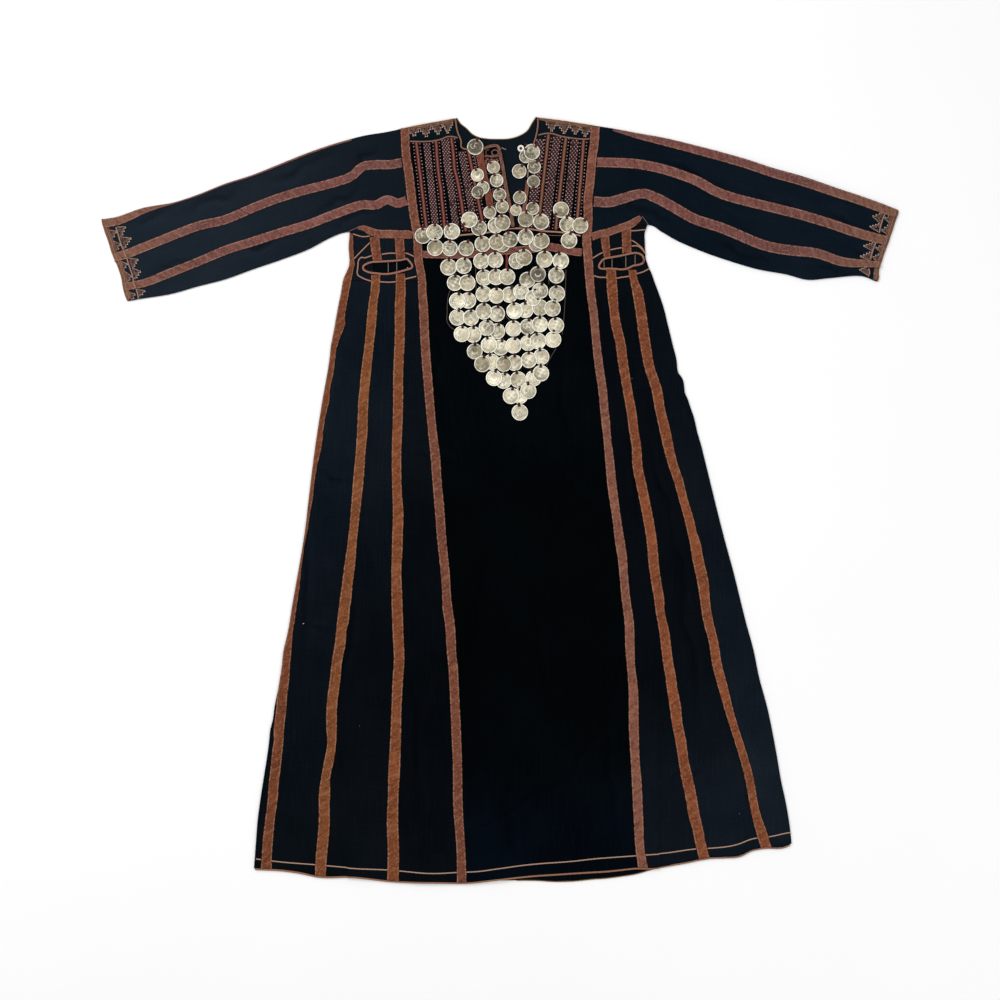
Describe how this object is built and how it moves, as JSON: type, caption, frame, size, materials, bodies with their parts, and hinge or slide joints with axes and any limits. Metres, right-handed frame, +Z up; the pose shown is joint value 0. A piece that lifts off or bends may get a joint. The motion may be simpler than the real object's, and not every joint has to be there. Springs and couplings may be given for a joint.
{
  "type": "palestinian thobe dress",
  "caption": "Long-sleeved flared thobe dress laid flat, with seam bands, two bound slits, an embroidered yoke and a bib of strung coins.",
  "frame": {"origin": "on the underside of the back panel, in the middle of the garment's overall length and width", "axes": "+Z up, away from the surface the garment lies on; +Y towards the neck; +X towards the sleeve at the right of the front as seen"},
  "size_m": [1.4568, 1.3956, 0.0081],
  "materials": {
    "armhole_band_left": "dusty rose-brown band cloth, couched edges",
    "armhole_band_right": "dusty rose-brown band cloth, couched edges",
    "back_panel": "matt blue-black plain weave",
    "button": "satin",
    "centre_front_panel": "matt blue-black plain weave",
    "coins_band_left": "worn silver, light rims over darker fields",
    "coins_band_middle": "worn silver, light rims over darker fields",
    "coins_bib_row_1": "worn silver, light rims over darker fields",
    "coins_bib_row_2": "worn silver, light rims over darker fields",
    "coins_bib_row_3": "worn silver, light rims over darker fields",
    "coins_bib_row_4": "worn silver, light rims over darker fields",
    "coins_bib_row_5": "worn silver, light rims over darker fields",
    "coins_bib_row_6": "worn silver, light rims over darker fields",
    "coins_bib_row_7": "worn silver, light rims over darker fields",
    "coins_bib_row_8": "worn silver, light rims over darker fields",
    "coins_bib_tip": "worn silver, light rims over darker fields",
    "coins_chest_left": "worn silver, light rims over darker fields",
    "coins_chest_middle": "worn silver, light rims over darker fields",
    "coins_chest_right": "worn silver, light rims over darker fields",
    "coins_front_right": "worn silver, light rims over darker fields",
    "coins_neck_left": "worn silver, light rims over darker fields",
    "coins_placket": "worn silver, light rims over darker fields",
    "coins_placket_left": "worn silver, light rims over darker fields",
    "coins_yoke_right": "worn silver, light rims over darker fields",
    "cuff_binding_left": "rust band cloth, faint slubs across the band",
    "cuff_binding_right": "rust band cloth, faint slubs across the band",
    "front_edge_right": "dusty rose-brown band cloth, couched edges",
    "gore_left_inner": "matt blue-black plain weave",
    "gore_left_middle": "matt blue-black plain weave",
    "gore_left_outer": "matt blue-black plain weave",
    "gore_right_inner": "matt blue-black plain weave",
    "gore_right_middle": "matt blue-black plain weave",
    "gusset_left": "matt blue-black plain weave",
    "gusset_right": "matt blue-black plain weave",
    "hem_binding": "rust band cloth, faint slubs across the band",
    "placket": "dusty rose-brown band cloth, couched edges",
    "seam_band_a": "rust band cloth, faint slubs across the band",
    "seam_band_b": "rust band cloth, faint slubs across the band",
    "seam_band_c": "rust band cloth, faint slubs across the band",
    "seam_band_d": "dusty rose-brown band cloth, couched edges",
    "seam_band_e": "dusty rose-brown band cloth, couched edges",
    "seam_band_f": "rust band cloth, faint slubs across the band",
    "seam_band_g": "rust band cloth, faint slubs across the band",
    "side_panel_left": "matt blue-black plain weave",
    "side_panel_right": "matt blue-black plain weave",
    "sleeve_left": "matt blue-black plain weave",
    "sleeve_left_band_lower": "dusty rose-brown band cloth, couched edges",
    "sleeve_left_band_middle": "dusty rose-brown band cloth, couched edges",
    "sleeve_left_band_top": "dusty rose-brown band cloth, couched edges",
    "sleeve_right": "matt blue-black plain weave",
    "sleeve_right_band_lower": "dusty rose-brown band cloth, couched edges",
    "sleeve_right_band_middle": "dusty rose-brown band cloth, couched edges",
    "sleeve_right_band_top": "dusty rose-brown band cloth, couched edges",
    "slit_ring_left": "rust band cloth, faint slubs across the band",
    "slit_ring_right": "rust band cloth, faint slubs across the band",
    "underarm_panel_left": "matt blue-black plain weave",
    "underarm_panel_right": "matt blue-black plain weave",
    "yoke_band": "dusty rose-brown band cloth, couched edges",
    "yoke_left": "matt blue-black plain weave",
    "yoke_right": "matt blue-black plain weave"
  },
  "bodies": {
    "root": {"armhole_band_left": "armhole_band_left", "armhole_band_right": "armhole_band_right", "back_panel": "back_panel", "button": "button", "centre_front_panel": "centre_front_panel", "coins_band_left": "coins_band_left", "coins_band_middle": "coins_band_middle", "coins_bib_row_1": "coins_bib_row_1", "coins_bib_row_2": "coins_bib_row_2", "coins_bib_row_3": "coins_bib_row_3", "coins_bib_row_4": "coins_bib_row_4", "coins_bib_row_5": "coins_bib_row_5", "coins_bib_row_6": "coins_bib_row_6", "coins_bib_row_7": "coins_bib_row_7", "coins_bib_row_8": "coins_bib_row_8", "coins_bib_tip": "coins_bib_tip", "coins_chest_left": "coins_chest_left", "coins_chest_middle": "coins_chest_middle", "coins_chest_right": "coins_chest_right", "coins_front_right": "coins_front_right", "coins_neck_left": "coins_neck_left", "coins_placket": "coins_placket", "coins_placket_left": "coins_placket_left", "coins_yoke_right": "coins_yoke_right", "cuff_binding_left": "cuff_binding_left", "cuff_binding_right": "cuff_binding_right", "front_edge_right": "front_edge_right", "gore_left_inner": "gore_left_inner", "gore_left_middle": "gore_left_middle", "gore_left_outer": "gore_left_outer", "gore_right_inner": "gore_right_inner", "gore_right_middle": "gore_right_middle", "gusset_left": "gusset_left", "gusset_right": "gusset_right", "hem_binding": "hem_binding", "placket": "placket", "seam_band_a": "seam_band_a", "seam_band_b": "seam_band_b", "seam_band_c": "seam_band_c", "seam_band_d": "seam_band_d", "seam_band_e": "seam_band_e", "seam_band_f": "seam_band_f", "seam_band_g": "seam_band_g", "side_panel_left": "side_panel_left", "side_panel_right": "side_panel_right", "sleeve_left": "sleeve_left", "sleeve_left_band_lower": "sleeve_left_band_lower", "sleeve_left_band_middle": "sleeve_left_band_middle", "sleeve_left_band_top": "sleeve_left_band_top", "sleeve_right": "sleeve_right", "sleeve_right_band_lower": "sleeve_right_band_lower", "sleeve_right_band_middle": "sleeve_right_band_middle", "sleeve_right_band_top": "sleeve_right_band_top", "slit_ring_left": "slit_ring_left", "slit_ring_right": "slit_ring_right", "underarm_panel_left": "underarm_panel_left", "underarm_panel_right": "underarm_panel_right", "yoke_band": "yoke_band", "yoke_left": "yoke_left", "yoke_right": "yoke_right"}
  },
  "joints": []
}
